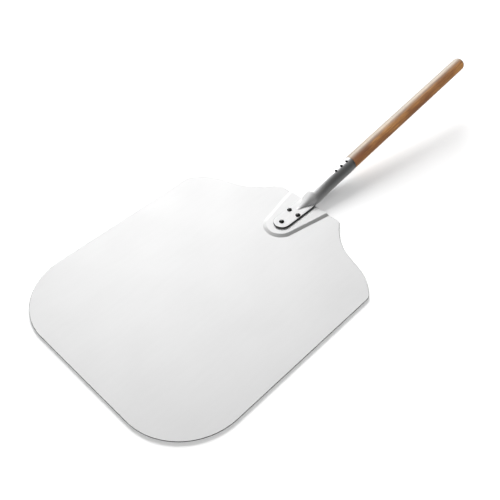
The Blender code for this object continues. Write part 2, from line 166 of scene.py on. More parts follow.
# Camera and suns.
CAMERA_LENS = 50.74
CAMERA_SENSOR = 36.0
CAMERA_AIM = Vector((0.002859, 0.090685, 0.0015))
CAMERA_AZIMUTH = radians(48.0045)
CAMERA_ELEVATION = radians(46.665)
CAMERA_ROLL = radians(-4.1027)
CAMERA_DISTANCE = 1.106996
SUN_ANGLE = radians(31)
KEY_FROM = Vector((-0.697, 0.558, 0.451))
KEY_STRENGTH = 4.6
WOOD_KEY_STRENGTH = 0.3
GLOSS_FROM = Vector((-0.662, 0.447, 0.602))
GLOSS_STRENGTH = 1.88
WOOD_GLOSS_STRENGTH = 2.0

# Surroundings, as matt surfaces see them and as metal mirrors them.
FLOOR_HALF_SIZE = 30.0
FLOOR_BELOW = 2.0 * MM
FLOOR_TONE = 0.9
AMBIENT = 0.68
BELOW = 0.45
WALLS_IN_METAL = 0.03
FRONT_IN_METAL = 0.55
FRONT_FROM = -0.5
FRONT_BLUR = 0.2
LIT_FLOOR_IN_METAL = 1.2
DIM_FLOOR_IN_METAL = 0.2
LIT_FLOOR_BLUR = 0.25
HORIZON_TILT = 0.3
HORIZON_BLUR = 0.1


# Mesh building


def add_piece(name, bm, material, location=(0, 0, 0), rotation=None):
    """Close a bmesh into a smooth piece of the scene, faces out."""
    bmesh.ops.remove_doubles(bm, verts=bm.verts, dist=WELD)
    bmesh.ops.recalc_face_normals(bm, faces=bm.faces)
    mesh = bpy.data.meshes.new(name)
    bm.to_mesh(mesh)
    bm.free()
    mesh.shade_smooth()
    piece = bpy.data.objects.new(name, mesh)
    bpy.context.scene.collection.objects.link(piece)
    piece.data.materials.append(material)
    piece.location = location
    if rotation is not None:
        piece.rotation_mode = "QUATERNION"
        piece.rotation_quaternion = rotation
    return piece


def finish_piece(piece, node):
    """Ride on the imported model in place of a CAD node."""
    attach(piece, "root")
    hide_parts(node)


def cut_holes(piece, holes):
    """Subtract each hole's cutter."""
    for hole in holes:
        cut = piece.modifiers.new("cut_" + hole.name, "BOOLEAN")
        cut.operation = "DIFFERENCE"
        cut.solver = "EXACT"
        cut.object = hole


def apply_modifiers(piece):
    """Keep the modified mesh, and drop the modifiers."""
    bpy.context.view_layer.update()
    evaluated = piece.evaluated_get(bpy.context.evaluated_depsgraph_get())
    mesh = bpy.data.meshes.new_from_object(evaluated)
    mesh.name = piece.name
    piece.modifiers.clear()
    piece.data = mesh


def even_normals(piece):
    """Large faces set the shading normals, so flat faces look flat up to their rounded edges."""
    piece.data.set_sharp_from_angle(angle=radians(40))
    weighted = piece.modifiers.new("even_normals", "WEIGHTED_NORMAL")
    weighted.mode = "FACE_AREA"
    weighted.weight = 80
    weighted.keep_sharp = True


def ramp(value, start, end):
    """Run straight from 0 at start to 1 at end."""
    return min(max((value - start) / (end - start), 0.0), 1.0)


def smooth_step(value, start, end):
    """Ease from 0 at start to 1 at end."""
    ratio = ramp(value, start, end)
    return ratio * ratio * (3.0 - 2.0 * ratio)


def spaced(start, end, steps):
    """Evenly spaced values after the start, up to the end."""
    return [start + (end - start) * i / steps for i in range(1, steps + 1)]


def turned_mesh(profile, steps):
    """Turn (radius, height) points about local Z. A radius of 0 is a pole."""
    bm = bmesh.new()
    rings = []
    for radius, height in profile:
        if radius <= 0.0:
            rings.append([bm.verts.new((0.0, 0.0, height))])
            continue
        angles = [2 * pi * i / steps for i in range(steps)]
        rings.append([bm.verts.new((radius * cos(a), radius * sin(a), height)) for a in angles])
    for near, far in zip(rings, rings[1:]):
        for i in range(steps):
            j = (i + 1) % steps
            corners = [near[i % len(near)], near[j % len(near)], far[j % len(far)], far[i % len(far)]]
            bm.faces.new(list(dict.fromkeys(corners)))
    return bm


# Blade


def corner_arc(corner, before, after, radius):
    """Points of a fillet between two travel directions, and the length that it cuts off."""
    turn = before.angle(after)
    cut = radius * tan(turn / 2)
    pull = 4.0 / 3.0 * tan(turn / 4) * radius
    start, end = corner - before * cut, corner + after * cut
    arc = interpolate_bezier(
        start, start + before * pull, end - after * pull, end, OUTLINE_STEPS
    )
    return [point.to_2d() for point in arc], cut


def half_outline():
    """Points of the blade's +X half, from the front corner's start to the neck's end."""
    corner = Vector((FRONT_WIDTH / 2, FRONT_Y))
    shoulder = Vector((SHOULDER_WIDTH / 2, FRONT_Y + SHOULDER_FROM_FRONT))
    neck = Vector((NECK_WIDTH / 2, REAR_Y))
    across = Vector((1.0, 0.0))
    side = (shoulder - corner).normalized()
    sweep_in = Vector((-sin(SHOULDER_ANGLE), cos(SHOULDER_ANGLE)))
    sweep_out = Vector((-cos(NECK_ANGLE), sin(NECK_ANGLE)))

    front_arc, _ = corner_arc(corner, across, side, FRONT_CORNER_RADIUS)
    shoulder_arc, shoulder_cut = corner_arc(shoulder, side, sweep_in, SHOULDER_RADIUS)
    neck_arc, neck_cut = corner_arc(neck, sweep_out, -across, NECK_RADIUS)
    leave = shoulder_arc[-1] + sweep_in * (SHOULDER_REACH - shoulder_cut)
    arrive = neck_arc[0] - sweep_out * (NECK_REACH - neck_cut)
    sweep = interpolate_bezier(shoulder_arc[-1], leave, arrive, neck_arc[0], OUTLINE_STEPS)
    return front_arc + shoulder_arc + [point.to_2d() for point in sweep[1:-1]] + neck_arc


def boss_profile():
    """(inset, height) points up the boss's top face: foot bend, straight slope, crown bend."""
    bends = 2 * BOSS_BEND + SHEET
    straight = BOSS_RISE - bends * (1 - cos(BOSS_SLOPE))
    width = straight / tan(BOSS_SLOPE) + bends * sin(BOSS_SLOPE)
    crown_radius = BOSS_BEND + SHEET
    angles = [BOSS_SLOPE * i / BOSS_BEND_STEPS for i in range(BOSS_BEND_STEPS + 1)]
    foot_centre = SHEET + BOSS_BEND
    crown_centre = SHEET + BOSS_RISE - crown_radius
    foot = [(BOSS_BEND * sin(a), foot_centre - BOSS_BEND * cos(a)) for a in angles]
    crown = [
        (width - crown_radius * sin(a), crown_centre + crown_radius * cos(a))
        for a in reversed(angles)
    ]
    return foot + crown


def boss_ring(inset, height):
    """The U outline drawn in by an inset, from the rear edge round to the rear edge."""
    radius = BOSS_RADIUS - inset
    centre_y = REAR_Y - BOSS_CENTRE_FROM_REAR
    end_x = radius / cos(BOSS_FLARE) + BOSS_CENTRE_FROM_REAR * tan(BOSS_FLARE)
    arc_x, arc_y = radius * cos(BOSS_FLARE), centre_y - radius * sin(BOSS_FLARE)
    side = []
    for i in range(BOSS_SIDE_STEPS):
        ratio = i / BOSS_SIDE_STEPS
        side.append((end_x + (arc_x - end_x) * ratio, REAR_Y + (arc_y - REAR_Y) * ratio))
    sweep = pi - 2 * BOSS_FLARE
    arc = []
    for i in range(BOSS_ARC_STEPS + 1):
        angle = -BOSS_FLARE - sweep * i / BOSS_ARC_STEPS
        arc.append((radius * cos(angle), centre_y + radius * sin(angle)))
    points = side + arc + [(-x, y) for x, y in reversed(side)]
    return [Vector((x, y, height)) for x, y in points]


def make_blade(material, holes):
    """The sheet's top skin with its boss, given its thickness, its holes and a rounded rim."""
    bm = bmesh.new()
    rings = [[bm.verts.new(point) for point in boss_ring(*step)] for step in boss_profile()]
    for near, far in zip(rings, rings[1:]):
        for i in range(len(near) - 1):
            bm.faces.new((near[i], near[i + 1], far[i + 1], far[i]))
    bm.faces.new(rings[-1])
    half = half_outline()
    right = [bm.verts.new((x, y, SHEET)) for x, y in half]
    left = [bm.verts.new((-x, y, SHEET)) for x, y in reversed(half)]
    bm.faces.new(right + rings[0] + left)
    blade = add_piece("blade_sheet", bm, material)
    thicken = blade.modifiers.new("sheet", "SOLIDIFY")
    thicken.thickness = SHEET
    thicken.offset = -1.0
    thicken.use_even_offset = True
    cut_holes(blade, holes)
    rim = blade.modifiers.new("rim", "BEVEL")
    rim.width = RIM_ROUNDING
    rim.segments = 4
    rim.use_clamp_overlap = False
    rim.limit_method = "ANGLE"
    rim.angle_limit = radians(60)
    apply_modifiers(blade)
    even_normals(blade)
    return blade


# Socket


def axis_height(y):
    """Height of the tube's axis at a distance behind the rear edge."""
    return TUBE_AXIS_HEIGHT_AT_REAR + y * tan(TUBE_TILT)


def half_width(y):
    """Half-width of the section, from the wide tongue to the tube."""
    settle = smooth_step(y, *WIDTH_SETTLES)
    return TONGUE_HALF_WIDTH + (TUBE_RADIUS - TONGUE_HALF_WIDTH) * settle


def nose_half_width(y):
    """Half-width of the raised nose: a rounded tip, then a flare to the tube's full width."""
    tip_end = NOSE_START + NOSE_TIP_LENGTH
    tip = NOSE_TIP_HALF_WIDTH * sqrt(1 - (1 - ramp(y, NOSE_START, tip_end)) ** 2)
    flare = ramp(y, tip_end, CROWN_FULL)
    return tip + (half_width(y) - NOSE_TIP_HALF_WIDTH) * flare


def crown_height(y):
    """Height of the top ridge: flat on the tongue, then rising to the round tube."""
    straight = ramp(y, NOSE_START, CROWN_FULL)
    rise = straight + (smooth_step(y, NOSE_START, CROWN_FULL) - straight) * CROWN_EASE
    sag = CROWN_SAG * (1 - smooth_step(y, CROWN_FULL, WIDTH_SETTLES[1]))
    tube_crown = axis_height(y) + TUBE_RADIUS / cos(TUBE_TILT) - sag
    return TONGUE_TOP + (tube_crown - TONGUE_TOP) * rise


def keel_height(y):
    """Height of the lowest line: under the tongue, just clear of the ground, under the tube."""
    drop = smooth_step(y, *KEEL_DROPS)
    flattened = TONGUE_BOTTOM + (KEEL_HEIGHT - TONGUE_BOTTOM) * drop
    return max(flattened, axis_height(y) - TUBE_RADIUS / cos(TUBE_TILT))


def keel_power(y):
    """Superellipse power of the lower half: square near the blade, then round."""
    return KEEL_POWER + (CIRCLE_POWER - KEEL_POWER) * smooth_step(y, *WIDTH_SETTLES)


def super_arc(ratio, power):
    """Height of a superellipse arc of unit size at a ratio of its half-width."""
    return max(1 - abs(ratio) ** power, 0.0) ** (1 / power)


def nose_arc(x, width):
    """Share of the nose's rise at x, for a nose that is width to a side."""
    if width <= 0.0 or abs(x) >= width:
        return 0.0
    return (1 - (x / width) ** 2) ** NOSE_CROWN_POWER


def tongue_end_scale(y):
    """Width ratio of the tongue's round front end: 1 behind its arc's centre."""
    ahead = min(max((TONGUE_CENTRE_FROM_REAR - y) / TONGUE_HALF_WIDTH, 0.0), 1.0)
    return sqrt(1 - ahead * ahead)


def blend(first, second, weight):
    """Mix two tuples: the first at a weight of 0, the second at 1."""
    return tuple(a + (b - a) * weight for a, b in zip(first, second))


def outer_heights(x, y, width):
    """Top and bottom of the socket's outside at x, for a section that is width to a side."""
    ratio = x / width
    edge = super_arc(ratio, TONGUE_EDGE_POWER)
    flat_middle = (TONGUE_TOP + TONGUE_BOTTOM) / 2
    half = (TONGUE_TOP - TONGUE_BOTTOM) / 2
    nose = nose_arc(x, nose_half_width(y)) * (crown_height(y) - TONGUE_TOP)
    flat = (flat_middle + half * edge + nose, flat_middle - half * edge)
    middle = axis_height(y)
    round_top = middle + (crown_height(y) - middle) * super_arc(ratio, CIRCLE_POWER)
    round_bottom = middle - (middle - keel_height(y)) * super_arc(ratio, keel_power(y))
    return blend(flat, (round_top, round_bottom), smooth_step(y, *SIDES_CLOSE))


def inner_heights(x, y, width):
    """Top and bottom of the socket's cavity at x."""
    ratio = x / width
    ceiling = crown_height(y) - TUBE_WALL
    floor = keel_height(y) + TUBE_WALL
    flat_middle = (TONGUE_TOP + TONGUE_BOTTOM) / 2
    flat_top = flat_middle + (ceiling - flat_middle) * super_arc(ratio, CIRCLE_POWER)
    flat_bottom = flat_middle + (floor - flat_middle) * super_arc(ratio, TONGUE_EDGE_POWER)
    middle = axis_height(y)
    round_top = middle + (ceiling - middle) * super_arc(ratio, CIRCLE_POWER)
    round_bottom = middle - (middle - floor) * super_arc(ratio, keel_power(y))
    weight = smooth_step(y, *SIDES_CLOSE)
    return blend((flat_top, flat_bottom), (round_top, round_bottom), weight)


def cavity_width(y):
    """Half-width of the cavity: inside the nose first, then inside the tube's wall."""
    inside_nose = nose_half_width(y) - TUBE_WALL
    inside_tube = half_width(y) - TUBE_WALL
    return inside_nose + (inside_tube - inside_nose) * smooth_step(y, *SIDES_CLOSE)


def socket_ring(y, width, heights):
    """One closed section of the socket, leaning back to stand square to the tube's axis."""
    lean = smooth_step(y, *WIDTH_SETTLES) * tan(TUBE_TILT)
    points = []
    for i in range(UPPER_STEPS + 1):
        x = width * cos(pi * i / UPPER_STEPS)
        points.append((x, heights(x, y, width)[0]))
    for i in range(1, LOWER_STEPS):
        x = -width * cos(pi * i / LOWER_STEPS)
        points.append((x, heights(x, y, width)[1]))
    return [Vector((x, REAR_Y + y - (z - axis_height(y)) * lean, z)) for x, z in points]


def crimped_radius(y):
    """The tube's outer radius, drawn in a little towards the mouth."""
    return TUBE_RADIUS - CRIMP * smooth_step(y, MOUTH_FROM_REAR - CRIMP_LENGTH, MOUTH_FROM_REAR)


def outside_rings():
    """Sections from the tongue's round tip, over the nose and along the tube, to the mouth."""
    rings = []
    for degrees in [4, 8] + list(range(12, 91, 6)):
        y = TONGUE_CENTRE_FROM_REAR - TONGUE_HALF_WIDTH * cos(radians(degrees))
        rings.append(socket_ring(y, TONGUE_HALF_WIDTH * tongue_end_scale(y), outer_heights))
    crimp_start = MOUTH_FROM_REAR - CRIMP_LENGTH
    stations = spaced(TONGUE_CENTRE_FROM_REAR, NOSE_START, steps=12)
    stations += spaced(NOSE_START, CROWN_FULL, steps=64)
    stations += spaced(CROWN_FULL, PLAIN_TUBE_FROM, steps=24)
    stations += spaced(PLAIN_TUBE_FROM, crimp_start, steps=10)
    rings += [socket_ring(y, half_width(y), outer_heights) for y in stations]
    crimped = spaced(crimp_start, MOUTH_FROM_REAR - EDGE_ROUNDING, steps=8)
    rings += [tube_ring(y, crimped_radius(y)) for y in crimped]
    return rings


def mouth_rings():
    """The tube's cut end, rounded over from the outer to the inner wall."""
    rings = []
    for i in range(1, MOUTH_STEPS + 1):
        angle = pi / 2 * i / MOUTH_STEPS
        y = MOUTH_FROM_REAR - EDGE_ROUNDING * (1 - sin(angle))
        shrink = EDGE_ROUNDING * (1 - cos(angle))
        rings.append(tube_ring(y, crimped_radius(y) - shrink))
    for i in range(MOUTH_STEPS):
        angle = pi / 2 * i / MOUTH_STEPS
        y = MOUTH_FROM_REAR - EDGE_ROUNDING * (1 - cos(angle))
        widen = EDGE_ROUNDING * (1 - sin(angle))
        rings.append(tube_ring(y, TUBE_RADIUS - TUBE_WALL + widen))
    return rings


def tube_ring(y, radius):
    """A round section, square to the tube's axis, with the same points as the other sections."""
    points = []
    for i in range(UPPER_STEPS + 1):
        angle = pi * i / UPPER_STEPS
        points.append((radius * cos(angle), radius * sin(angle)))
    for i in range(1, LOWER_STEPS):
        angle = pi + pi * i / LOWER_STEPS
        points.append((radius * cos(angle), radius * sin(angle)))
    centre = Vector((0.0, REAR_Y + y, axis_height(y)))
    up = Vector((0.0, -sin(TUBE_TILT), cos(TUBE_TILT)))
    return [centre + Vector((x, 0.0, 0.0)) + up * rise for x, rise in points]


def inside_rings():
    """Sections of the cavity, from the mouth back to its closed end under the nose."""
    stations = [CAVITY_START]
    stations += spaced(CAVITY_START, CROWN_FULL, steps=24)
    stations += spaced(CROWN_FULL, PLAIN_TUBE_FROM, steps=20)
    stations += spaced(PLAIN_TUBE_FROM, MOUTH_FROM_REAR - 2 * EDGE_ROUNDING, steps=8)
    return [socket_ring(y, cavity_width(y), inner_heights) for y in reversed(stations)]


def make_socket(material, holes):
    """One skin: tongue tip to mouth outside, round the cut end, and back down the cavity."""
    bm = bmesh.new()
    rings = outside_rings() + mouth_rings() + inside_rings()
    loops = [[bm.verts.new(point) for point in ring] for ring in rings]
    count = len(loops[0])
    for near, far in zip(loops, loops[1:]):
        for i in range(count):
            j = (i + 1) % count
            bm.faces.new((near[i], near[j], far[j], far[i]))
    bm.faces.new(loops[0])
    bm.faces.new(loops[-1])
    socket = add_piece("socket_tube", bm, material)
    cut_holes(socket, holes)
    apply_modifiers(socket)
    socket.data.set_sharp_from_angle(angle=radians(50))
    return socket


# Handle


def tube_frame(from_mouth, rise):
    """A point above the tube's axis, at a distance from the mouth towards the blade."""
    mouth = Vector((0.0, MOUTH_Y, axis_height(MOUTH_FROM_REAR)))
    along = Vector((0.0, cos(TUBE_TILT), sin(TUBE_TILT)))
    up = Vector((0.0, -sin(TUBE_TILT), cos(TUBE_TILT)))
    return mouth - along * from_mouth + up * rise


def handle_profile():
    """(radius, height) from the round end down to the spigot, height 0 at the socket's mouth."""
    flat = HANDLE_RADIUS_END - HANDLE_END_ROUNDING
    points = [(0.0, HANDLE_VISIBLE), (flat / 2, HANDLE_VISIBLE)]
    for i in range(HANDLE_END_STEPS + 1):
        angle = pi / 2 * i / HANDLE_END_STEPS
        radius = flat + HANDLE_END_ROUNDING * sin(angle)
        points.append((radius, HANDLE_VISIBLE - HANDLE_END_ROUNDING * (1 - cos(angle))))
    top = HANDLE_VISIBLE - HANDLE_END_ROUNDING
    taper = HANDLE_RADIUS_END - HANDLE_RADIUS_NEAR
    for height in spaced(top, SHOULDER_CHAMFER + SEAM, HANDLE_RINGS):
        points.append((HANDLE_RADIUS_NEAR + taper * (height / top), height))
    points.append((HANDLE_RADIUS_NEAR - SHOULDER_CHAMFER, SEAM))
    points.append((SPIGOT_RADIUS, SEAM))
    depths = spaced(0.0, SPIGOT_LENGTH - SPIGOT_CHAMFER, steps=8)
    points += [(SPIGOT_RADIUS, -depth) for depth in depths]
    points.append((SPIGOT_RADIUS - SPIGOT_CHAMFER, -SPIGOT_LENGTH))
    points.append((0.0, -SPIGOT_LENGTH))
    return points


def make_handle(material, holes):
    """The dowel and its spigot, turned about the tube's axis."""
    turn = Quaternion((1.0, 0.0, 0.0), TUBE_TILT - pi / 2)
    bm = turned_mesh(handle_profile(), HANDLE_STEPS)
    handle = add_piece("handle_dowel", bm, material, tube_frame(0.0, 0.0), turn)
    cut_holes(handle, holes)
    apply_modifiers(handle)
    handle.data.set_sharp_from_angle(angle=radians(40))
    return handle


# Fasteners


def dome(radius, height, steps):
    """(radius, height) points of a shallow dome from its crown to its rim, rim at height 0."""
    sphere = (radius * radius + height * height) / (2 * height)
    half_angle = atan2(radius, sphere - height)
    points = []
    for i in range(steps + 1):
        angle = half_angle * i / steps
        points.append((sphere * sin(angle), sphere * cos(angle) - (sphere - height)))
    return points


def make_rivet(name, node, material):
    """Domed head down on the tongue, shank, and a formed tail under the boss."""
    low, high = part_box(node)
    centre = (low + high) / 2
    seat = TONGUE_TOP + SEAM
    under = BLADE_HIGH.z - SHEET - SEAM
    rim = seat + RIVET_HEAD_RIM
    tuck = RIVET_HEAD_RIM * 0.3
    head = [(r, rim + h) for r, h in dome(RIVET_HEAD_RADIUS, high.z - seat - RIVET_HEAD_RIM, steps=10)]
    head += [(RIVET_HEAD_RADIUS - tuck, seat + tuck), (RIVET_HEAD_RADIUS - RIVET_HEAD_RIM, seat)]
    tail = [(r, under - h) for r, h in reversed(dome(RIVET_TAIL_RADIUS, RIVET_TAIL_HEIGHT, steps=8))]
    profile = head + [(RIVET_SHANK_RADIUS, seat), (RIVET_SHANK_RADIUS, under)] + tail
    turned = turned_mesh(profile, FASTENER_STEPS)
    rivet = add_piece(name, turned, material, (centre.x, centre.y, 0.0))
    rivet.data.set_sharp_from_angle(angle=radians(35))
    return rivet


def make_pin(name, from_mouth, material):
    """Small domed nail, its head down on the tube's top ridge."""
    head = [(r, SEAM + h) for r, h in dome(PIN_HEAD_RADIUS, PIN_HEAD_HEIGHT, steps=8)]
    point = [(PIN_SHANK_RADIUS, 2 * PIN_SHANK_RADIUS - PIN_LENGTH), (0.0, -PIN_LENGTH)]
    profile = head + [(PIN_SHANK_RADIUS, SEAM)] + point
    lean = Quaternion((1.0, 0.0, 0.0), TUBE_TILT)
    seat = tube_frame(from_mouth, TUBE_RADIUS)
    pin = add_piece(name, turned_mesh(profile, FASTENER_STEPS), material, seat, lean)
    pin.data.set_sharp_from_angle(angle=radians(35))
    return pin


def hole_cutter(name, radius, length, centre, tilt=0.0):
    """A cylinder that cuts one hole, and is removed at the end."""
    bm = bmesh.new()
    bmesh.ops.create_cone(
        bm, cap_ends=True, segments=FASTENER_STEPS, radius1=radius, radius2=radius, depth=length
    )
    mesh = bpy.data.meshes.new(name)
    bm.to_mesh(mesh)
    bm.free()
    cutter = bpy.data.objects.new(name, mesh)
    bpy.context.scene.collection.objects.link(cutter)
    cutter.location = centre
    cutter.rotation_euler = (tilt, 0.0, 0.0)
    return cutter


def rivet_cutters():
    """Upright cutters through the tongue and the boss."""
    cutters = []
    for node in RIVETS:
        low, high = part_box(node)
        centre = (low + high) / 2
        place = (centre.x, centre.y, 0.0)
        radius = RIVET_SHANK_RADIUS + SEAM
        cutters.append(hole_cutter(node + "_hole", radius, RIVET_HOLE_LENGTH, place))
    return cutters


def pin_cutters():
    """Cutters square to the tube, from above its crown down past the pins' points."""
    cutters = []
    for node, from_mouth in zip(PINS, PIN_FROM_MOUTH):
        radius, length = PIN_SHANK_RADIUS + SEAM, 2 * (PIN_LENGTH + SEAM)
        seat = tube_frame(from_mouth, TUBE_RADIUS)
        cutters.append(hole_cutter(node + "_hole", radius, length, seat, TUBE_TILT))
    return cutters


# Materials


class Nodes:
    """Short calls that add nodes to the tree of a material or of the world."""

    def __init__(self, tree):
        self.tree = tree

    def feed(self, socket, value):
        """Link a node's output to the socket, or put a plain value in it."""
        if isinstance(value, bpy.types.NodeSocket):
            self.tree.links.new(value, socket)
        else:
            socket.default_value = value

    def node(self, kind, settings=None, **inputs):
        """Add a node. An input is its name with _ for each space, or i and its number."""
        made = self.tree.nodes.new("ShaderNode" + kind)
        for key, value in (settings or {}).items():
            setattr(made, key, value)
        for key, value in inputs.items():
            numbered = key[0] == "i" and key[1:].isdigit()
            self.feed(made.inputs[int(key[1:]) if numbered else key.replace("_", " ")], value)
        return made

    def coordinate(self, kind, axis):
        """One axis of the Object, Normal or Generated coordinates."""
        vector = self.node("TexCoord").outputs[kind]
        return self.node("SeparateXYZ", Vector=vector).outputs[axis]

    def math(self, operation, *values):
        """Work out one Math node's operation on the values."""
        made = self.node("Math", {"operation": operation})
        for socket, value in zip(made.inputs, values):
            self.feed(socket, value)
        return made.outputs[0]

    def remap(self, value, low, high, to_low, to_high):
        """Carry low to to_low and high to to_high, and hold the value past both."""
        made = self.node("MapRange", i0=value, i1=low, i2=high, i3=to_low, i4=to_high)
        return made.outputs[0]

    def mask(self, value, start, end):
        """0 up to the start, and 1 from the end on. The end may be the lower one."""
        return self.remap(value, start, end, 0.0, 1.0)


class Surface(Nodes):
    """A Principled material, with the calls that only a material needs."""

    def __init__(self, name):
        self.material = bpy.data.materials.new(name)
        self.material.use_nodes = True
        super().__init__(self.material.node_tree)
        self.shader = self.tree.nodes["Principled BSDF"]

    def set(self, name, value):
        """Feed one of the shader's inputs."""
        self.feed(self.shader.inputs[name], value)

    def source(self, name):
        """What feeds one of the shader's inputs now."""
        return self.shader.inputs[name].links[0].from_socket

    def noise(self, stretch, scale, detail, roughness):
        """Noise in object coordinates. A low stretch factor draws it out along that axis."""
        vector = self.node("TexCoord").outputs["Object"]
        placed = self.node("Mapping", Vector=vector, Scale=stretch).outputs["Vector"]
        made = self.node("TexNoise", Vector=placed, Scale=scale, Detail=detail, Roughness=roughness)
        return made.outputs["Fac"]

    def mix(self, factor, first, second):
        """Mix two colours: the first at a factor of 0, the second at 1."""
        return self.node("Mix", {"data_type": "RGBA"}, i0=factor, i6=first, i7=second).outputs[2]

    def bump(self, height, strength, distance):
        """Shade the surface as if the height stood up from it."""
        made = self.node("Bump", Height=height, Strength=strength, Distance=distance)
        self.set("Normal", made.outputs["Normal"])


def grey(level):
    """An opaque colour of equal parts."""
    return (level, level, level, 1.0)


def metal(name, tone, roughness, grain):
    """Rolled or drawn metal: fine grain along Y, and slightly cloudy gloss."""
    surface = Surface(name)
    fine = surface.noise(stretch=(1.0, 0.03, 1.0), scale=2600.0, detail=3.0, roughness=0.6)
    broad = surface.noise(stretch=(1.0, 0.12, 1.0), scale=160.0, detail=3.0, roughness=0.5)
    cloud = surface.noise(stretch=(1.0, 1.0, 1.0), scale=14.0, detail=3.0, roughness=0.5)
    fine_tone = surface.remap(fine, *NOISE_SPAN, -grain, grain)
    broad_tone = surface.remap(broad, *NOISE_SPAN, -grain, grain)
    shade = surface.math("ADD", surface.math("ADD", fine_tone, broad_tone), tone)
    surface.set("Metallic", 1.0)
    surface.set("Base Color", surface.node("CombineColor", i0=shade, i1=shade, i2=shade).outputs[0])
    gloss = surface.remap(cloud, *NOISE_SPAN, roughness - CLOUDY, roughness + CLOUDY)
    surface.set("Roughness", gloss)
    surface.bump(fine, strength=0.05, distance=0.02 * MM)
    return surface


def paint_edge_shade(surface, mask):
    """Rough and nearly black where the mask is 1: painted shade for edges and rims where shade and
    dark reflections fall.
    """
    gloss = surface.source("Roughness")
    surface.set("Base Color", surface.mix(mask, surface.source("Base Color"), grey(PAINTED_EDGE_SHADE_TONE)))
    surface.set("Metallic", surface.math("SUBTRACT", 1.0, mask))
    surface.set("Specular IOR Level", PAINTED_EDGE_SHADE_SPECULAR)
    surface.set("Roughness", surface.node("Mix", i0=mask, i2=gloss, i3=PAINTED_EDGE_SHADE_ROUGHNESS).outputs[0])


def facing(surface):
    """The up part of the surface's direction: 1 on top, 0 on upright faces, -1 underneath."""
    return surface.coordinate("Normal", "Z")


def upright(surface, slope=0.75, steep=0.45):
    """1 where the face points up or down by less than steep, easing to 0 at slope."""
    return surface.mask(surface.math("ABSOLUTE", facing(surface)), slope, steep)


def below(surface, height, blur):
    """1 on what lies lower than the height, by the blur or more."""
    return surface.mask(surface.coordinate("Object", "Z"), height, height - blur)


def blade_metal():
    """Satin sheet with painted shade on its rim, its rounded top edge included."""
    surface = metal("blade_satin", SATIN_TONE, SATIN_ROUGHNESS, grain=0.004)
    # Painted shade: the rim and its rounded top edge turn near black, where shadow and dark
    # reflections fall.
    turning = surface.mask(facing(surface), 0.9995, 0.995)
    above = surface.mask(facing(surface), -0.7, -0.4)
    low = below(surface, SHEET, blur=0.02 * MM)
    shaded_rim_rounding = surface.math("MULTIPLY", turning, surface.math("MULTIPLY", low, above))
    paint_edge_shade(surface, surface.math("MAXIMUM", shaded_rim_rounding, upright(surface)))
    return surface.material


def socket_metal():
    """Matt tongue with painted shade on its cut edge, and a smoother, duller tube, darker just before
    its mouth.
    """
    surface = metal("socket_satin", SATIN_TONE, SATIN_ROUGHNESS, grain=0.02)
    y = surface.coordinate("Object", "Y")
    dull_from, dull_to = (REAR_Y + place for place in TUBE_DULLS)
    # Darker just before the mouth, added to the duller tube's tone.
    darker_from, darker_to = (MOUTH_Y - place for place in DARKER_BEFORE_MOUTH)
    smooth_from, smooth_to = (REAR_Y + place for place in TUBE_SMOOTHS)
    dulled = surface.remap(y, dull_from, dull_to, 0.0, TUBE_DULLNESS)
    darker_at_mouth = surface.remap(y, darker_from, darker_to, 0.0, MOUTH_DARKENING)
    dulled_and_darker = surface.math("ADD", dulled, darker_at_mouth)
    surface.set("Base Color", surface.mix(dulled_and_darker, surface.source("Base Color"), grey(DULL_AND_DARK_TONE)))
    gloss = surface.remap(y, smooth_from, smooth_to, SATIN_ROUGHNESS, TUBE_ROUGHNESS)
    surface.set("Roughness", gloss)
    # Painted shade: the tongue's upright cut edge turns near black, where its shadow and dark
    # reflections fall.
    low = below(surface, TONGUE_TOP, blur=0.05 * MM)
    on_tongue = surface.mask(y, REAR_Y + 2 * MM, REAR_Y - 2 * MM)
    cut = upright(surface, slope=0.98, steep=0.9)
    paint_edge_shade(surface, surface.math("MULTIPLY", cut, surface.math("MULTIPLY", low, on_tongue)))
    return surface.material


def rivet_painted_shade():
    """Near-black steel with a little gloss, the black being painted shade for the domes' shaded sides,
    and blacker still round the edge of the head: more painted shade.
    """
    # Painted shade: the near-black tone stands in for the shade on the domes' far sides.
    surface = metal("rivet_painted_shade", tone=0.08, roughness=0.36, grain=0.006)
    # Painted shade: the head's upright rim turns near black.
    paint_edge_shade(surface, upright(surface))
    return surface.material


def pin_steel():
    """Blackened steel, with almost no gloss."""
    surface = metal("pin_steel", tone=0.015, roughness=0.6, grain=0.002)
    surface.set("Metallic", 0.0)
    surface.set("Specular IOR Level", 0.2)
    return surface.material


def wood_grain(surface, fibres):
    """Colour of fresh wood: broad blotches, streaks and fine fibres, all drawn out along Z."""
    streaks = surface.noise(stretch=(1.0, 1.0, 0.05), scale=260.0, detail=4.0, roughness=0.6)
    blotches = surface.noise(stretch=(1.0, 1.0, 0.25), scale=55.0, detail=3.0, roughness=0.55)
    light = (0.95, 0.42, 0.085, 1.0)
    dark = (0.40, 0.115, 0.012, 1.0)
    fibre_brown = (0.2, 0.07, 0.015, 1.0)
    colour = surface.mix(surface.remap(blotches, 0.38, 0.62, 0.0, 0.9), light, dark)
    colour = surface.mix(surface.remap(streaks, 0.42, 0.62, 0.0, 0.8), colour, dark)
    return surface.mix(surface.remap(fibres, 0.45, 0.7, 0.0, 0.6), colour, fibre_brown)


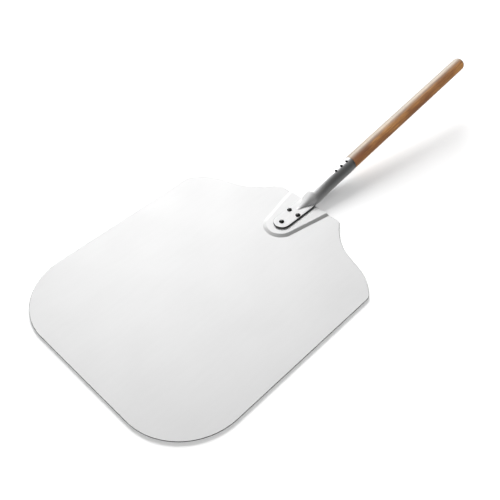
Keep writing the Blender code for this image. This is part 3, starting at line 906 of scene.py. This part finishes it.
def handle_wood():
    """Oiled dowel, with a painted sheen along its -X side, and darker on its round end."""
    surface = Surface("handle_wood")
    fibres = surface.noise(stretch=(1.0, 1.0, 0.03), scale=1400.0, detail=5.0, roughness=0.6)
    # Painted sheen: the -X side, where the light falls, is mixed towards a pale grey-beige.
    painted_sheen = (0.52, 0.49, 0.42, 1.0)
    end_brown = (0.17, 0.09, 0.03, 1.0)
    sheen_side = surface.remap(surface.coordinate("Normal", "X"), 0.5, -0.3, 0.0, 0.6)
    on_end = surface.remap(facing(surface), 0.15, 0.6, 0.0, 0.8)
    colour = surface.mix(sheen_side, wood_grain(surface, fibres), painted_sheen)
    surface.set("Base Color", surface.mix(on_end, colour, end_brown))
    surface.set("Roughness", surface.remap(fibres, *NOISE_SPAN, 0.45, 0.6))
    surface.set("Specular IOR Level", 0.3)
    surface.set("Coat Weight", 1.0)
    surface.set("Coat IOR", 1.9)
    surface.set("Coat Roughness", 0.68)
    surface.set("Coat Tint", (0.97, 0.98, 0.9, 1.0))
    surface.bump(fibres, strength=0.15, distance=0.1 * MM)
    return surface.material


def floor_paint():
    """Matt white paint."""
    surface = Surface("floor_paint")
    surface.set("Base Color", grey(FLOOR_TONE))
    surface.set("Roughness", 0.9)
    surface.set("Specular IOR Level", 0.0)
    return surface.material


# Studio


def make_floor():
    """A white floor that takes the shadows, and that no other surface is lit by."""
    bm = bmesh.new()
    bmesh.ops.create_grid(bm, x_segments=4, y_segments=4, size=FLOOR_HALF_SIZE)
    floor = add_piece("floor", bm, floor_paint(), (0.0, 0.0, -FLOOR_BELOW))
    floor.visible_glossy = False
    floor.visible_diffuse = False


def make_sun(name, towards, strength, seen_by):
    """A soft sun that lights only diffuse surfaces or only gloss, so metal and floor balance."""
    data = bpy.data.lights.new(name, "SUN")
    data.energy = strength
    data.angle = SUN_ANGLE
    sun = bpy.data.objects.new(name, data)
    sun.rotation_mode = "QUATERNION"
    sun.rotation_quaternion = towards.to_track_quat("Z", "Y")
    sun.visible_diffuse = seen_by == "diffuse"
    sun.visible_glossy = seen_by == "glossy"
    bpy.context.scene.collection.objects.link(sun)
    return sun


def light_piece(sun, piece, state):
    """Make the sun light only this piece, or every piece but this one."""
    receivers = bpy.data.collections.new(sun.name + "_receivers")
    receivers.objects.link(piece)
    receivers.collection_objects[0].light_linking.link_state = state
    sun.light_linking.receiver_collection = receivers


def background(world, level):
    """Even grey light from all round."""
    return world.node("Background", Color=grey(level)).outputs[0]


def choose(world, factor, first, second):
    """The first shader where the factor is 0, and the second where it is 1."""
    return world.node("MixShader", i0=factor, i1=first, i2=second).outputs[0]


def beyond(world, value, middle, blur):
    """0 under the middle value and 1 over it, with a soft change between."""
    return world.mask(value, middle - blur, middle + blur)


def matt_surroundings(world):
    """Pale all round, and dimmer from below."""
    above = beyond(world, world.coordinate("Generated", "Z"), 0.0, HORIZON_BLUR)
    return choose(world, above, background(world, BELOW), background(world, AMBIENT))


def mirrored_surroundings(world):
    """Dim walls with a brighter front, over a floor that is lit on its left side."""
    x, y, z = (world.coordinate("Generated", axis) for axis in "XYZ")
    lit_floor, dim_floor = background(world, LIT_FLOOR_IN_METAL), background(world, DIM_FLOOR_IN_METAL)
    front, walls = background(world, FRONT_IN_METAL), background(world, WALLS_IN_METAL)
    floor = choose(world, beyond(world, x, 0.0, LIT_FLOOR_BLUR), lit_floor, dim_floor)
    room = choose(world, beyond(world, y, FRONT_FROM, FRONT_BLUR), front, walls)
    height = world.math("MULTIPLY_ADD", x, HORIZON_TILT, z)
    return choose(world, beyond(world, height, 0.0, HORIZON_BLUR), floor, room)


def make_surroundings():
    """White to the camera, and different surroundings for matt surfaces and for gloss."""
    studio = bpy.data.worlds.new("studio")
    studio.use_nodes = True
    bpy.context.scene.world = studio
    world = Nodes(studio.node_tree)
    ray = world.node("LightPath").outputs
    matt, mirrored = matt_surroundings(world), mirrored_surroundings(world)
    around = choose(world, ray["Is Glossy Ray"], matt, mirrored)
    seen = choose(world, ray["Is Camera Ray"], around, background(world, 1.0))
    world.feed(world.tree.nodes["World Output"].inputs["Surface"], seen)


def make_camera():
    """The photograph's view: aimed at the peel from its front right, and from above."""
    data = bpy.data.cameras.new("camera")
    data.lens = CAMERA_LENS
    data.sensor_width = CAMERA_SENSOR
    back = Vector((
        sin(CAMERA_AZIMUTH) * cos(CAMERA_ELEVATION),
        -cos(CAMERA_AZIMUTH) * cos(CAMERA_ELEVATION),
        sin(CAMERA_ELEVATION),
    ))
    camera = bpy.data.objects.new("camera", data)
    camera.location = CAMERA_AIM + back * CAMERA_DISTANCE
    camera.rotation_mode = "QUATERNION"
    level = (-back).to_track_quat("-Z", "Y")
    camera.rotation_quaternion = level @ Quaternion((0.0, 0.0, 1.0), CAMERA_ROLL)
    bpy.context.scene.collection.objects.link(camera)
    bpy.context.scene.camera = camera


# The peel in its studio

bpy.context.scene.view_settings.view_transform = "Standard"
make_camera()
key = make_sun("key", KEY_FROM, KEY_STRENGTH, "diffuse")
wood_key = make_sun("wood_key", KEY_FROM, WOOD_KEY_STRENGTH, "diffuse")
make_sun("key_gloss", GLOSS_FROM, GLOSS_STRENGTH, "glossy")
wood_gloss = make_sun("wood_gloss", GLOSS_FROM, WOOD_GLOSS_STRENGTH, "glossy")
make_surroundings()
make_floor()

sheet_metal = blade_metal()
tube_metal = socket_metal()
rivet_metal = rivet_painted_shade()
pin_metal = pin_steel()
dowel_wood = handle_wood()

rivet_holes = rivet_cutters()
pin_holes = pin_cutters()
finish_piece(make_blade(sheet_metal, rivet_holes), "blade")
finish_piece(make_socket(tube_metal, rivet_holes + pin_holes), "socket")
dowel = make_handle(dowel_wood, pin_holes)
finish_piece(dowel, "handle")
light_piece(key, dowel, "EXCLUDE")
light_piece(wood_key, dowel, "INCLUDE")
light_piece(wood_gloss, dowel, "INCLUDE")
for node in RIVETS:
    finish_piece(make_rivet(node.replace("tongue_", "") + "_head", node, rivet_metal), node)
for node, from_mouth in zip(PINS, PIN_FROM_MOUTH):
    finish_piece(make_pin(node.replace("socket_", ""), from_mouth, pin_metal), node)
for cutter in rivet_holes + pin_holes:
    bpy.data.objects.remove(cutter, do_unlink=True)
